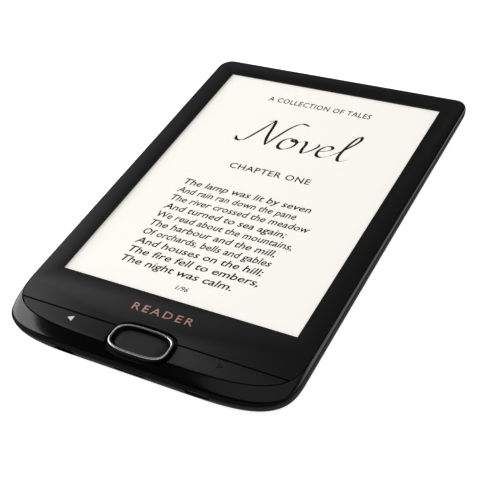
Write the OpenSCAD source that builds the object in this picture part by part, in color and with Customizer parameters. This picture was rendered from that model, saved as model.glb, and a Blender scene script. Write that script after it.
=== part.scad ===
// E-reader with a six inch e-paper display, two page keys and a raised home ring.
// Frame: +Z is the front, +Y the top edge. The origin is the middle of the footprint, on the back.

/* [Body] */
// Width across the side walls
body_w = 108; // [106:0.5:112]
// Length from the bottom edge to the top edge
body_l = 161.3; // [161:0.1:163]
// Height of the front plane above the back
front_z = 8; // [8:0.1:8.6]
// Radius of the two top corners
top_corner_r = 5.2; // [4.5:0.1:6.5]
// Sideways reach of each bottom corner curve
corner_reach_x = 35; // [30:0.5:38]
// Lengthways reach of each bottom corner curve
corner_reach_y = 19; // [17:0.5:21]
// Height of the widest line at the top end
belt_top_z = 7; // [6.6:0.1:7.1]
// Height of the widest line at the bottom end
belt_bottom_z = 5.6; // [5.2:0.1:5.7]
// How far the back rounds in at the top and bottom ends
end_round = 5.2; // [4:0.1:6]
// How far the back rounds in along the sides, at the top end
side_round_top = 6; // [4:0.1:7]
// How far the back rounds in along the sides, at the bottom end
side_round_bottom = 2.4; // [2:0.1:4]
// Thickness of the back wall
floor_t = 1.3; // [1:0.1:1.4]

/* [Front] */
// Thickness of the matte plate
plate_t = 0.65; // [0.6:0.05:0.75]
// Width of the display window
window_w = 90.7; // [88:0.1:92]
// Length of the display window
window_l = 122.8; // [120:0.1:124]
// Distance from the top edge of the body to the window
window_margin = 8.6; // [8.4:0.1:10]
// Place of the groove between the plate and the page keys, along Y
groove_y = -67.25; // [-68:0.05:-67]
// Width of that groove
groove_w = 0.4; // [0.4:0.05:0.6]
// Distance from the bottom edge of the body to the lower edge of the page keys
chin_l = 5.8; // [5.3:0.1:6.2]

/* [Home ring] */
// Half width of the opening for the ring
ring_hole_x = 12.3; // [12.3:0.05:12.8]
// Half length of the opening for the ring
ring_hole_y = 7.25; // [7.2:0.05:7.35]
// Place of the ring's middle, along Y
ring_y = -71; // [-71.1:0.05:-70.8]
// Height of the ring above the front plane
ring_rise = 1.1; // [0.8:0.05:1.3]

/* [Keys] */
// Distance of each page arrow from the middle
arrow_x = 28.65; // [26:0.05:32]
// Place of the power key, along X
power_x = 25.7; // [25:0.1:26.5]
// Width of the power key
power_w = 8.4; // [8:0.1:9]

/* [Ports] */
// Place of the charging port, along X
usb_x = -24.5; // [-25.5:0.1:-23.5]
// Place of the memory card slot, along X
card_x = 0.8; // [0:0.1:1.5]
// Width of the slit for the memory card
card_slit_w = 11.8; // [11.4:0.1:12.4]

/* [Hidden] */
$fn = 32;

// A hair more than zero, so that a cut runs clear of a face
eps = 0.01;
// Reach of a cut that only has to be long enough
far = 200;

// Limits of the footprint
half_w = body_w / 2;
half_l = body_l / 2;

// Squareness of the bottom corners: of the body, and of the plate
corner_power = 3.4;
plate_power = 4;
// Squareness of the frame's front: where it is a narrow border, and on the wide chin
border_power = 2.2;
chin_power = 1.25;
chin_wide = 4;

// Steps along a bottom corner, a top corner, a straight side, the rounding and the chin
bottom_steps = 14;
top_steps = 7;
side_steps = 6;
round_steps = 6;
chin_steps = 5;

// Outer edge of the glossy frame, in from the widest line
seam_side = 0.1;
seam_top = 0.15;
seam_bottom = 1.25;
// Edge of the matte plate, in from the widest line, and the reaches of its bottom corner curves
plate_side = 0.65;
plate_top = 0.65;
plate_corner_x = corner_reach_x + 14.5;
plate_corner_y = corner_reach_y + 3.4;
// Depth of the seam below the front plane at either end
seam_top_drop = 0.7;
seam_bottom_drop = 1.9;
seam_gap = 0.08;
// Height of the land's inner edge at the most, below the plate
land_z = 6.85;
// Width of the land where the frame rests on the rear cover, and the play around its lip
rim_w = 1.4;
lip_play = 0.2;
lip_z = 5.7;
// Play around the plate, and around the keys
plate_play = 0.05;
pocket_play = 0.2;
key_play = 0.1;

// Heights of the stack below the plate
gasket_t = 0.15;
guide_t = 0.5;
film_t = 0.3;
panel_t = 0.7;
mid_t = 0.7;
board_t = 0.8;
board_gap = 0.1;
plate_z = front_z - plate_t;
gasket_z = plate_z - gasket_t;
guide_z = gasket_z - guide_t;
film_z = guide_z - film_t;
panel_z = film_z - panel_t;
mid_z = panel_z - mid_t;
board_top = mid_z - board_gap;
board_z = board_top - board_t;

// Middle of the window, and the display stack around it
window_y = half_l - window_margin - window_l / 2;
window_bottom = window_y - window_l / 2;
stack_half_w = 50.4;
stack_bottom = -60.6;
stack_top = 76.5;
stack_play = 0.4;

// Key pocket in the frame
pocket_z = 6.5;
key_cap_t = 1;
home_drop = 0.2;
home_cap_t = 0.8;
stem_z = 6.2;
stem_w = 4;
stem_l = 2.4;
stem_play = 0.3;
switch_w = 4;
switch_h = 0.7;
switch_floor = 0.1;
plunger_r = 0.9;
plunger_play = 0.2;
plunger_z = 5.4;
page_key_y = -71;

// Half sizes of the ring's lines, and the squareness of its outline
ring_power = 3.2;
ring_steps = 13;
collar_x = 12.1;
collar_y = 7.05;
chrome_out_x = 11.05;
chrome_out_y = 5.6;
chrome_in_x = 10.35;
chrome_in_y = 4.95;
trough_z = 7.2;
pad_x = 9.15;
pad_y = 4.15;
bore_play = 0.15;
ring_top = front_z + ring_rise;
chrome_t = 0.45;

// Foil arrow on each page key
arrow_l = 2.2;
arrow_w = 2.3;
arrow_y = -70.05;
foil_t = 0.04;

// Parts along the bottom edge
usb_z = 4.2;
card_z = 4.55;
power_z = 4.95;
cover_hole_w = 8.2;
cover_hole_h = 2.8;
inner_wall_y = -78.6;
notch_play = 0.25;
usb_w = 7.5;
usb_h = 2.5;
usb_front = -78.5;
usb_l = 5.2;
usb_wall = 0.3;
card_front = -78.4;
card_w = 13.6;
card_l = 14;
card_h = 1.2;
card_base_t = 0.2;
card_slit_h = 1;
card_wall = 0.15;
card_contacts = 8;
card_pitch = 1.1;
power_h = 1.3;
power_front = -80;
power_back = -76.7;
power_flange_t = 0.8;
power_flange_h = 1.3;
power_switch_w = 4;
power_switch_l = 2.4;
power_switch_h = 1.3;
power_play = 0.15;
power_plunger_l = 1.8;

// Places of the snap tabs along the sides
tab_y = [-30, 10, 50];
tab_l = 6;
tab_h = 0.5;
tab_z = 6;
tab_d = 0.5;
tab_play = 0.1;

// Display gasket, and the strip of light-emitting diodes below the window
gasket_w = 3;
gasket_play = 0.3;
strip_y = window_bottom - 3.2;
strip_t = 0.12;
strip_l = 2.2;
led_count = 9;
led_reach = 40;
led_w = 2.6;
led_l = 0.8;
led_t = 0.35;

// The display's flexible tail and its socket
flex_x = -28;
flex_w = 28;
flex_t = 0.2;
flex_y = -61.9;
flex_bend = 0.7;
flex_start = -57;
flex_end = -64;
flex_steps = 5;
flex_play = 0.8;
socket_z = 3;
socket_l = 4;

// Mid frame: its lightening holes and its screw tabs
mid_r = 1.5;
mid_hole_x = 42;
mid_hole_w = 10;
mid_hole_l = 42;
mid_hole_y = [-14, 38];
mid_slot_y = 62;
mid_slot_w = 70;
mid_slot_l = 14;
mid_hole_r = 2;
tab_w = 5;
mid_tab_l = 6.4;

// Main board
board_edge = 2.8;
board_half_w = 47;
board_low = -77;
board_high = -36;
can_x = -24;
can_y = -50;
can_w = 30;
can_l = 16;
can_h = 1.6;
can_t = 0.2;

// Antenna and its two spring contacts
antenna_x = 40;
antenna_y = -27;
antenna_w = 10;
antenna_l = 16;
antenna_t = 0.2;
spring_x = [38, 42];
spring_y = -37.5;
spring_r = 0.8;
spring_pin_r = 0.4;
spring_foot_t = 0.15;
spring_foot_l = 4;

// Home switch: low, on a flexible strip over the memory card socket
home_flex_w = 3;
home_flex_t = 0.08;
home_flex_z = card_z + card_h / 2 + 0.02;
home_switch_w = 3.6;
home_switch_h = 0.41;
home_switch_floor = 0.06;
home_plunger_z = 5.64;

// Battery under the mid frame
tape_t = 0.2;
tape_w = 14;
tape_x = 20;
rib_t = 0.8;
rib_h = 1.2;
rib_gap = 0.8;
cell_w = 66;
cell_l = 74;
cell_t = 3;
cell_y = 10;
cell_r = 1.5;
lead_r = 0.4;
lead_gap = 2;
lead_start = cell_y - cell_l / 2 - 3.2;
lead_x = -3;
lead_z = 3;
plug_y = -41.5;

// Screws: the board into the mid frame, and the mid frame into the front frame
screw_r = 0.7;
head_r = 1.5;
head_t = 0.5;
board_screw_xy = [[-43, -58], [43, -58], [-43, -40], [43, -40], [12, -66], [-12, -39]];
frame_screw_xy = [[-47.5, -64], [-11, -64], [18, -64], [47.5, -64]];

black_gloss = [0.04, 0.04, 0.045];
black_matte = [0.15, 0.15, 0.16];
black_soft = [0.2, 0.2, 0.21];
screen_white = [0.96, 0.95, 0.92];
steel = [0.72, 0.73, 0.75];
board_green = [0.1, 0.32, 0.2];
chip_black = [0.1, 0.1, 0.11];
flex_amber = [0.72, 0.42, 0.12];
gold = [0.85, 0.68, 0.3];

function lerp(a, b, t) = a + (b - a) * t;

// A quarter of a superellipse that turns anticlockwise from the angle start
function corner(cx, cy, a, b, n, start, steps) = [
    for (i = [0:steps])
        let (t = start + 90 * i / steps, c = cos(t), s = sin(t))
            [cx + a * sign(c) * pow(abs(c), 2 / n), cy + b * sign(s) * pow(abs(s), 2 / n)]
];

// The inner points of a straight side at x, from y0 to y1
function side(x, y0, y1) = [for (i = [1:side_steps - 1]) [x, lerp(y0, y1, i / side_steps)]];

// A footprint with two small round corners at the top and two wide ones at the bottom
function outline(hw, top, bottom, r, a, b, n) = concat(
    corner(hw - a, bottom + b, a, b, n, -90, bottom_steps),
    side(hw, bottom + b, top - r),
    corner(hw - r, top - r, r, r, 2, 0, top_steps),
    corner(r - hw, top - r, r, r, 2, 90, top_steps),
    side(-hw, top - r, bottom + b),
    corner(a - hw, bottom + b, a, b, n, 180, bottom_steps)
);

// The widest line of the body
function belt() =
    outline(half_w, half_l, -half_l, top_corner_r, corner_reach_x, corner_reach_y, corner_power);

// The line where the glossy frame meets the rear cover, moved in by d
function seam(d = 0) = outline(
    half_w - seam_side - d, half_l - seam_top - d, d + seam_bottom - half_l,
    top_corner_r - 0.2 - d, corner_reach_x - d, corner_reach_y - 0.9 - d, corner_power
);

// The edge of the matte plate and of the page keys, moved in by d
function plate_edge(d = 0) = outline(
    half_w - plate_side - d, half_l - plate_top - d, d + chin_l - half_l,
    top_corner_r - 0.5 - d, plate_corner_x - d, plate_corner_y - d, plate_power
);

// A rounded slot outline with half sizes a and b
function ring_line(a, b) = [
    for (i = [0:4 * ring_steps - 1])
        let (t = 90 * i / ring_steps, c = cos(t), s = sin(t))
            [a * sign(c) * pow(abs(c), 2 / ring_power),
                ring_y + b * sign(s) * pow(abs(s), 2 / ring_power)]
];

// Share of the way from the top edge to the bottom edge
function run(y) = (half_l - y) / body_l;
belt_z = function (y) lerp(belt_top_z, belt_bottom_z, pow(run(y), 2));
seam_z = function (y) front_z - lerp(seam_top_drop, seam_bottom_drop, pow(run(y), 2));
rim_z = function (y) min(land_z, seam_z(y));
frame_edge_z = function (y) seam_z(y) + seam_gap;
frame_rim_z = function (y) rim_z(y) + seam_gap;

// An outline at the height that z gives for each point
function lift(points, z) = [for (p = points) [p.x, p.y, z(p.y)]];
function level(points, z) = [for (p = points) [p.x, p.y, z]];

// A line of the rounded back: phi is 90 on the flat and 0 at the widest line
function back_line(phi) = [
    for (p = belt())
        let (k = 1 - cos(phi), side_round = lerp(side_round_top, side_round_bottom, run(p.y)))
            [p.x * (1 - side_round * k / half_w), p.y * (1 - end_round * k / half_l),
                belt_z(p.y) * (1 - sin(phi))]
];

// A line of the frame's front: u is 0 at the plate and 1 at the seam
function chin_line(u) =
    let (upper = plate_edge(), lower = seam())
        [for (i = [0:len(upper) - 1])
            let (p = lerp(upper[i], lower[i], u), drop = front_z - frame_edge_z(lower[i].y),
                wide = min(1, norm(lower[i] - upper[i]) / chin_wide),
                k = lerp(border_power, chin_power, wide))
                [p.x, p.y, front_z - drop * (1 - pow(1 - pow(u, k), 1 / k))]];

// A skin through a list of lines of equal length, capped at both ends or joined into a loop
module loft(rings, looped = false) {
    n = len(rings[0]);
    m = len(rings);
    spans = looped ? m : m - 1;
    walls = [
        for (j = [0:spans - 1], i = [0:n - 1])
            let (a = j * n + i, b = j * n + (i + 1) % n, c = ((j + 1) % m) * n + (i + 1) % n,
                d = ((j + 1) % m) * n + i)
                each [[a, d, c], [a, c, b]]
    ];
    caps = looped ? [] : [[for (i = [0:n - 1]) i], [for (i = [n - 1:-1:0]) (m - 1) * n + i]];
    polyhedron(points = [for (r = rings) each r], faces = concat(walls, caps), convexity = 10);
}

// A box placed by the middle of its footprint and its lowest height
module block(x, y, z, w, l, h) {
    translate([x - w / 2, y - l / 2, z])
        cube([w, l, h]);
}

// A flat shape with round corners, standing on z
module pad(x, y, z, w, l, h, r) {
    translate([x, y, z])
        linear_extrude(h)
            union() {
                square([w - 2 * r, l], center = true);
                square([w, l - 2 * r], center = true);
                for (sx = [-1, 1], sy = [-1, 1])
                    translate([sx * (w / 2 - r), sy * (l / 2 - r)])
                        circle(r);
            }
}

// A slot with round ends that runs along Y through the bottom wall
module edge_slot(x, z, w, h, y0, y1) {
    for (s = [-1, 1])
        translate([x + s * (w - h) / 2, y0, z])
            rotate([-90, 0, 0])
                cylinder(d = h, h = y1 - y0);
    translate([x - (w - h) / 2, y0, z - h / 2])
        cube([w - h, y1 - y0, h]);
}

module rear_cover() {
    inner = seam(rim_w);
    lower = seam(rim_w + 1.6);
    foot = seam(rim_w + 2.4);
    color(black_soft)
        difference() {
            union() {
                loft(concat(
                    [for (i = [0:round_steps]) back_line(90 - 90 * i / round_steps)],
                    [lift(seam(), seam_z), lift(inner, rim_z), level(inner, 3.8),
                        level(lower, 3), level(foot, floor_t)]
                ));
                battery_ribs();
            }
            cover_holes();
        }
}

// Ribs on the floor that hold the battery in place
module battery_ribs() {
    for (s = [-1, 1]) {
        block(s * (cell_w / 2 + rib_gap + rib_t / 2), cell_y, floor_t - eps, rib_t, cell_l - 10, rib_h);
        block(0, cell_y + s * (cell_l / 2 + 3.2), floor_t - eps, cell_w - 16, rib_t, rib_h);
    }
}

// Openings for the ports and the power key, and pockets for the snap tabs
module cover_holes() {
    outside = -half_l - 1;
    inside = inner_wall_y + 1;
    edge_slot(usb_x, usb_z, cover_hole_w, cover_hole_h, outside, inside);
    wall_pocket(usb_x, usb_z, usb_w, usb_h);
    edge_slot(card_x, card_z, card_slit_w, card_slit_h, outside, inside);
    wall_pocket(card_x, card_z, card_w, card_h);
    edge_slot(power_x, power_z, power_w + 2 * power_play, power_h + 2 * power_play, outside, inside);
    wall_pocket(power_x, power_z, power_w + 1.6, power_flange_h);
    for (y = tab_y, s = [-1, 1])
        block(s * (half_w - seam_side - rim_w), y, tab_z - tab_play, tab_d + tab_play,
            tab_l + 4 * tab_play, tab_h + 2 * tab_play);
}

// Room inside the bottom wall for a part of width w and height h
module wall_pocket(x, z, w, h) {
    pocket_l = 4.8;
    block(x, inner_wall_y + pocket_l / 2, z - h / 2 - tab_play, w + 0.6, pocket_l, h + 2 * tab_play);
}

module front_frame() {
    lip = seam(rim_w + lip_play);
    color(black_gloss)
        difference() {
            union() {
                loft(concat(
                    [level(lip, lip_z), lift(lip, frame_rim_z)],
                    [for (i = [chin_steps:-1:0]) chin_line(i / chin_steps)]
                ));
                for (y = tab_y, s = [-1, 1])
                    block(s * (half_w - seam_side - rim_w - lip_play), y, tab_z, tab_d, tab_l, tab_h);
            }
            translate([0, 0, plate_z])
                linear_extrude(far)
                    polygon(plate_edge(-pocket_play));
            translate([0, (stack_top + stack_bottom) / 2, 0])
                cube([2 * (stack_half_w + stack_play), stack_top - stack_bottom + 2 * stack_play, far],
                    center = true);
            translate([0, 0, pocket_z])
                linear_extrude(far)
                    key_area(-pocket_play, 0);
            translate([0, 0, pocket_z])
                linear_extrude(far)
                    polygon(ring_line(ring_hole_x, ring_hole_y));
            for (x = [-arrow_x, 0, arrow_x])
                block(x, x == 0 ? ring_y : page_key_y, 0, stem_w + 2 * stem_play,
                    stem_l + 2 * stem_play, front_z);
            block(flex_x, flex_y + 0.3, lip_z - 1, flex_w + 2 * flex_play, 2, plate_z - lip_z + 0.7);
            for (p = frame_screw_xy)
                translate([p.x, p.y, lip_z - 1])
                    cylinder(r = screw_r - 0.1, h = 2);
        }
}

// The part of the front below the groove, moved in by d from the plate's edge and by g from the groove
module key_area(d, g) {
    intersection() {
        polygon(plate_edge(d));
        translate([-far / 2, groove_y - g - far])
            square([far, far]);
    }
}

module faceplate() {
    color(black_matte)
        translate([0, 0, plate_z])
            linear_extrude(plate_t)
                difference() {
                    intersection() {
                        polygon(plate_edge(plate_play));
                        translate([-far / 2, groove_y + groove_w / 2])
                            square([far, far]);
                    }
                    translate([0, window_y])
                        square([window_w, window_l], center = true);
                    polygon(ring_line(ring_hole_x, ring_hole_y));
                }
}

module display_gasket() {
    color(chip_black)
        difference() {
            block(0, window_y, gasket_z, window_w + 2 * gasket_w, window_l + 2 * gasket_w, gasket_t);
            block(0, window_y, 0, window_w + 2 * gasket_play, window_l + 2 * gasket_play, far);
        }
}

module light_guide() {
    color(screen_white)
        block(0, window_y, guide_z, window_w + 4, window_l + 3.6, guide_t);
}

// Light-emitting diodes along the lower edge of the light guide, on their flexible strip
module light_strip() {
    color(flex_amber)
        block(0, strip_y - 0.6, guide_z, window_w + 2, strip_l, strip_t);
    color(screen_white)
        for (i = [0:led_count - 1])
            block(lerp(-led_reach, led_reach, i / (led_count - 1)), strip_y, guide_z + strip_t - eps,
                led_w, led_l, led_t);
}

module eink_film() {
    color(screen_white)
        block(0, window_y, film_z, window_w + 2.4, window_l + 2.4, film_t);
}

module eink_panel() {
    color([0.35, 0.37, 0.38])
        block(0, (stack_top + stack_bottom) / 2, panel_z, 2 * stack_half_w, stack_top - stack_bottom,
            panel_t);
}

// The tail leaves the front of the panel, turns down past its edge and turns back under the board
module panel_flex() {
    top_z = film_z + flex_t / 2;
    low_z = socket_z + 0.5;
    path = concat(
        [[flex_start, top_z]],
        [for (i = [0:flex_steps])
            let (t = 90 * i / flex_steps)
                [flex_y + flex_bend * (1 - sin(t)), top_z - flex_bend * (1 - cos(t))]],
        [for (i = [0:flex_steps])
            let (t = 90 * i / flex_steps)
                [flex_y - flex_bend * (1 - cos(t)), low_z + flex_bend * (1 - sin(t))]],
        [[flex_end, low_z]]
    );
    color(flex_amber)
        translate([flex_x + flex_w / 2, 0, 0])
            rotate([90, 0, -90])
                linear_extrude(flex_w)
                    polygon(ribbon(path, flex_t));
}

// The outline of a strip of thickness t along a path, mirrored for the side view
function ribbon(path, t) =
    let (last = len(path) - 1)
        let (normals = [for (i = [0:last])
            let (d = path[min(i + 1, last)] - path[max(i - 1, 0)])
                [-d.y, d.x] / norm(d)])
            concat(
                [for (i = [0:last]) let (q = path[i] + normals[i] * t / 2) [-q.x, q.y]],
                [for (i = [last:-1:0]) let (q = path[i] - normals[i] * t / 2) [-q.x, q.y]]
            );

module flex_socket() {
    color([0.85, 0.83, 0.76])
        block(flex_x, flex_end - socket_l / 2, socket_z, flex_w + 1.5, socket_l, board_z - socket_z);
}

module mid_frame() {
    color(steel)
        difference() {
            union() {
                pad(0, (stack_top + stack_bottom) / 2, mid_z, 2 * stack_half_w, stack_top - stack_bottom,
                    mid_t, mid_r);
                for (p = frame_screw_xy)
                    pad(p.x, p.y + 1, mid_z, tab_w, mid_tab_l, mid_t, mid_r);
            }
            for (sx = [-1, 1], y = mid_hole_y)
                pad(sx * mid_hole_x, y, 0, mid_hole_w, mid_hole_l, far, mid_hole_r);
            pad(0, mid_slot_y, 0, mid_slot_w, mid_slot_l, far, mid_hole_r);
            block(flex_x, flex_y + 0.3, 0, flex_w + 2 * flex_play, 2.6, far);
            for (p = board_screw_xy)
                translate([p.x, p.y, 0])
                    cylinder(r = screw_r + 0.02, h = far);
            for (p = frame_screw_xy)
                translate([p.x, p.y, 0])
                    cylinder(r = screw_r + 0.1, h = far);
        }
}

module main_board() {
    color(board_green)
        difference() {
            translate([0, 0, board_z])
                linear_extrude(board_t)
                    intersection() {
                        polygon(seam(board_edge));
                        translate([-board_half_w, board_low])
                            square([2 * board_half_w, board_high - board_low]);
                    }
            block(flex_x, flex_y, 0, flex_w + 2 * flex_play, 2.4, far);
            for (p = board_screw_xy)
                translate([p.x, p.y, 0])
                    cylinder(r = screw_r + 0.15, h = far);
            for (p = frame_screw_xy)
                translate([p.x, p.y, 0])
                    cylinder(r = head_r + 0.4, h = far);
            board_notch(usb_x, usb_w, usb_front + usb_l);
            board_notch(card_x, card_w, card_front + card_l);
            board_notch(power_x, power_switch_w, power_back + 1 + power_switch_l);
            board_notch(power_x, power_w + 1.2, power_back + 0.2);
        }
}

// A notch in the board's lower edge for a part of width w that reaches up to y
module board_notch(x, w, y) {
    notch_l = 20;
    block(x, y + notch_play - notch_l / 2, 0, w + 2 * notch_play, notch_l, far);
}

// A part soldered to the underside of the board
module underside(x, y, w, l, h) {
    block(x, y, board_z - h, w, l, h);
}

module shield_can() {
    color(steel)
        difference() {
            underside(can_x, can_y, can_w, can_l, can_h);
            translate([0, 0, can_t])
                underside(can_x, can_y, can_w - 2 * can_t, can_l - 2 * can_t, can_h);
        }
}

module processor_chip() {
    color(chip_black)
        underside(can_x - 6, can_y, 13, 13, 1);
}

module memory_chip() {
    color(chip_black)
        underside(can_x + 8, can_y, 9, 12, 0.9);
}

module storage_chip() {
    color(chip_black)
        underside(11, -50, 13, 11.5, 1);
}

module power_chip() {
    color(chip_black)
        underside(24, -47, 6, 6, 0.8);
}

module wifi_module() {
    color([0.75, 0.76, 0.76])
        underside(34, -50, 12, 12, 1.7);
}

// A flexible antenna bonded to the floor of the rear cover
module wifi_antenna() {
    color(flex_amber)
        pad(antenna_x, antenna_y, floor_t, antenna_w, antenna_l, antenna_t, 0.8);
}

module antenna_contacts() {
    foot_z = floor_t + antenna_t;
    color(gold)
        for (x = spring_x)
            translate([x, spring_y, foot_z])
                union() {
                    cylinder(r = spring_pin_r, h = board_z - foot_z);
                    translate([0, 0, spring_r])
                        cylinder(r = spring_r, h = board_z - foot_z - spring_r);
                    translate([-spring_pin_r, 0, 0])
                        cube([2 * spring_pin_r, spring_foot_l, spring_foot_t]);
                }
}

module battery_cell() {
    color([0.78, 0.79, 0.8])
        pad(0, cell_y, mid_z - tape_t - cell_t, cell_w, cell_l, cell_t, cell_r);
}

module battery_tape() {
    color([0.15, 0.15, 0.15])
        for (sx = [-1, 1])
            block(sx * tape_x, cell_y, mid_z - tape_t, tape_w, cell_l - 10, tape_t);
}

// The protection board at the lower end of the cell
module battery_board() {
    color(board_green)
        block(lead_x, cell_y - cell_l / 2 - 1.7, 2.6, 30, 3, 0.8);
    color(chip_black)
        for (x = [-12, 4])
            block(x, cell_y - cell_l / 2 - 1.7, 3.4 - eps, 4, 2, 0.7);
}

module battery_leads() {
    for (i = [-1:1])
        color(i == -1 ? "black" : i == 0 ? "white" : "firebrick")
            translate([lead_x + i * lead_gap, plug_y + 1.2, lead_z])
                rotate([-90, 0, 0])
                    cylinder(r = lead_r, h = lead_start - plug_y - 1.2);
}

module battery_plug() {
    color([0.9, 0.89, 0.84])
        block(lead_x, plug_y, lead_z - 0.5, 7, 2.4, 1.1);
}

module battery_socket() {
    color([0.85, 0.83, 0.76])
        difference() {
            block(lead_x, plug_y - 0.7, lead_z - 0.8, 9, 4.4, board_z - lead_z + 0.8);
            block(lead_x, plug_y + 0.2, lead_z - 0.6, 7.2, 3, 1.3);
        }
}

// The outline of the charging port's mouth, moved in by d: its two lower corners are cut off
function usb_mouth(d) =
    let (w = usb_w / 2 - d, h = usb_h / 2 - d, c = 1)
        [[-w, h], [w, h], [w, c - h - 0.2], [w - c, -h], [c - w, -h], [-w, c - h - 0.2]];

module usb_prism(d, y0, y1) {
    translate([usb_x, y1, usb_z])
        rotate([90, 0, 0])
            linear_extrude(y1 - y0)
                polygon(usb_mouth(d));
}

module usb_shell() {
    color(steel)
        difference() {
            usb_prism(0, usb_front, usb_front + usb_l);
            usb_prism(usb_wall, usb_front - 1, usb_front + usb_l - usb_wall);
        }
}

module usb_tongue() {
    tongue_l = 4.2;
    color(chip_black)
        block(usb_x, usb_front + usb_l - usb_wall - tongue_l / 2, usb_z + 0.1, 3.7, tongue_l, 0.6);
}

// A metal cap over the card, open at the front and below
module card_socket_shell() {
    low = card_z - card_h / 2;
    color(steel)
        difference() {
            block(card_x, card_front + card_l / 2, low, card_w, card_l, card_h);
            block(card_x, card_front + card_l / 2 - card_wall, low - 1, card_w - 2 * card_wall, card_l,
                card_h + 1 - card_wall);
        }
}

module card_socket_base() {
    low = card_z - card_h / 2;
    color(chip_black)
        block(card_x, card_front + (card_l - card_wall) / 2 - eps, low, card_w - 2 * card_wall - 2 * eps,
            card_l - card_wall - 2 * eps, card_base_t);
    color(gold)
        for (i = [0:card_contacts - 1])
            block(card_x + card_pitch * (i - (card_contacts - 1) / 2), card_front + card_l - 4,
                low + card_base_t - eps, 0.6, 3, 0.15);
}

module power_key() {
    color(black_matte)
        union() {
            edge_slot(power_x, power_z, power_w, power_h, power_front, power_back);
            block(power_x, power_back - power_flange_t / 2, power_z - power_flange_h / 2, power_w + 1.2,
                power_flange_t, power_flange_h);
        }
}

module power_plunger() {
    color([0.85, 0.83, 0.76])
        block(power_x, power_back + power_plunger_l / 2, power_z - 0.3, 1.6, power_plunger_l, 0.6);
}

module power_switch() {
    front = power_back + 1;
    color(steel)
        difference() {
            block(power_x, front + power_switch_l / 2, power_z - power_switch_h / 2, power_switch_w,
                power_switch_l, power_switch_h);
            block(power_x, front + 0.4, power_z - 0.45, 2, 2.2, 0.9);
        }
}

module status_led() {
    color("white")
        underside(power_x + 3.2, -75, 1, 0.6, 0.4);
}

// One page key: side is -1 on the left and 1 on the right
module page_key(side) {
    color(black_soft)
        union() {
            translate([0, 0, front_z - key_cap_t])
                linear_extrude(key_cap_t)
                    intersection() {
                        difference() {
                            key_area(key_play, groove_w / 2);
                            polygon(ring_line(ring_hole_x, ring_hole_y));
                        }
                        translate([side > 0 ? 0 : -far, -far])
                            square([far, 2 * far]);
                    }
            block(side * arrow_x, page_key_y, stem_z, stem_w, stem_l, front_z - key_cap_t - stem_z + eps);
        }
}

module page_arrow(side) {
    tip = side * (arrow_x + arrow_l / 2);
    base = side * (arrow_x - arrow_l / 2);
    color([0.8, 0.8, 0.82])
        translate([0, 0, front_z])
            linear_extrude(foil_t)
                polygon([[tip, arrow_y], [base, arrow_y + arrow_w / 2], [base, arrow_y - arrow_w / 2]]);
}

module key_plunger(x, y, z) {
    color([0.85, 0.83, 0.76])
        translate([x, y, z])
            cylinder(r = plunger_r, h = stem_z - z);
}

// A switch with a round well for its plunger
module key_switch(x, y, z, w, h, well_floor) {
    color(steel)
        difference() {
            block(x, y, z, w, w, h);
            translate([x, y, z + well_floor])
                cylinder(r = plunger_r + plunger_play, h = h);
        }
}

module page_switch(side) {
    key_switch(side * arrow_x, page_key_y, board_top, switch_w, switch_h, switch_floor);
}

module left_key() {
    page_key(-1);
}

module right_key() {
    page_key(1);
}

module left_arrow() {
    page_arrow(-1);
}

module right_arrow() {
    page_arrow(1);
}

module left_plunger() {
    key_plunger(-arrow_x, page_key_y, plunger_z);
}

module right_plunger() {
    key_plunger(arrow_x, page_key_y, plunger_z);
}

module home_plunger() {
    key_plunger(0, ring_y, home_plunger_z);
}

module left_switch() {
    page_switch(-1);
}

module right_switch() {
    page_switch(1);
}

module home_switch() {
    key_switch(0, ring_y, home_flex_z + home_flex_t, home_switch_w, home_switch_h, home_switch_floor);
}

// The strip that carries the home switch over the card socket and down to the board
module home_flex() {
    high = home_flex_z + home_flex_t / 2;
    low = board_top + home_flex_t / 2 + eps;
    back = card_front + card_l;
    path = [[ring_y - 1.9, high], [back + 0.1, high], [back + 0.8, low], [back + 2, low]];
    color(flex_amber)
        translate([home_flex_w / 2, 0, 0])
            rotate([90, 0, -90])
                linear_extrude(home_flex_w)
                    polygon(ribbon(path, home_flex_t));
}

module home_key() {
    home_top = front_z - home_drop;
    color(black_soft)
        union() {
            translate([0, 0, home_top - home_cap_t])
                linear_extrude(home_cap_t)
                    polygon(ring_line(pad_x, pad_y));
            block(0, ring_y, stem_z, stem_w, stem_l, home_top - home_cap_t - stem_z + eps);
        }
}

// The black surround: a sunk trough, a raised wall that carries the chrome, and a slope down inside it
module ring_collar() {
    land = ring_top - chrome_t;
    bore_x = pad_x + bore_play;
    bore_y = pad_y + bore_play;
    color(black_gloss)
        loft([
            level(ring_line(collar_x, collar_y), pocket_z),
            level(ring_line(collar_x, collar_y), trough_z),
            level(ring_line(chrome_out_x + 0.2, chrome_out_y + 0.2), trough_z),
            level(ring_line(chrome_out_x + 0.1, chrome_out_y + 0.1), ring_top - 0.1),
            level(ring_line(chrome_out_x, chrome_out_y), ring_top - 0.1),
            level(ring_line(chrome_out_x, chrome_out_y), land),
            level(ring_line(chrome_in_x, chrome_in_y), land),
            level(ring_line(chrome_in_x, chrome_in_y), ring_top - 0.1),
            level(ring_line(chrome_in_x - 0.1, chrome_in_y - 0.1), ring_top - 0.1),
            level(ring_line(bore_x, bore_y), front_z - home_drop),
            level(ring_line(bore_x, bore_y), pocket_z)
        ], looped = true);
}

module chrome_ring() {
    color([0.85, 0.86, 0.88])
        translate([0, 0, ring_top - chrome_t])
            linear_extrude(chrome_t)
                difference() {
                    polygon(ring_line(chrome_out_x - 0.02, chrome_out_y - 0.02));
                    polygon(ring_line(chrome_in_x + 0.02, chrome_in_y + 0.02));
                }
}

// A screw driven towards the front, with its head below z
module screw(p, z, shank) {
    translate([p.x, p.y, z - head_t])
        union() {
            cylinder(r = head_r, h = head_t);
            cylinder(r = screw_r - 0.1, h = head_t + shank);
        }
}

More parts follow.
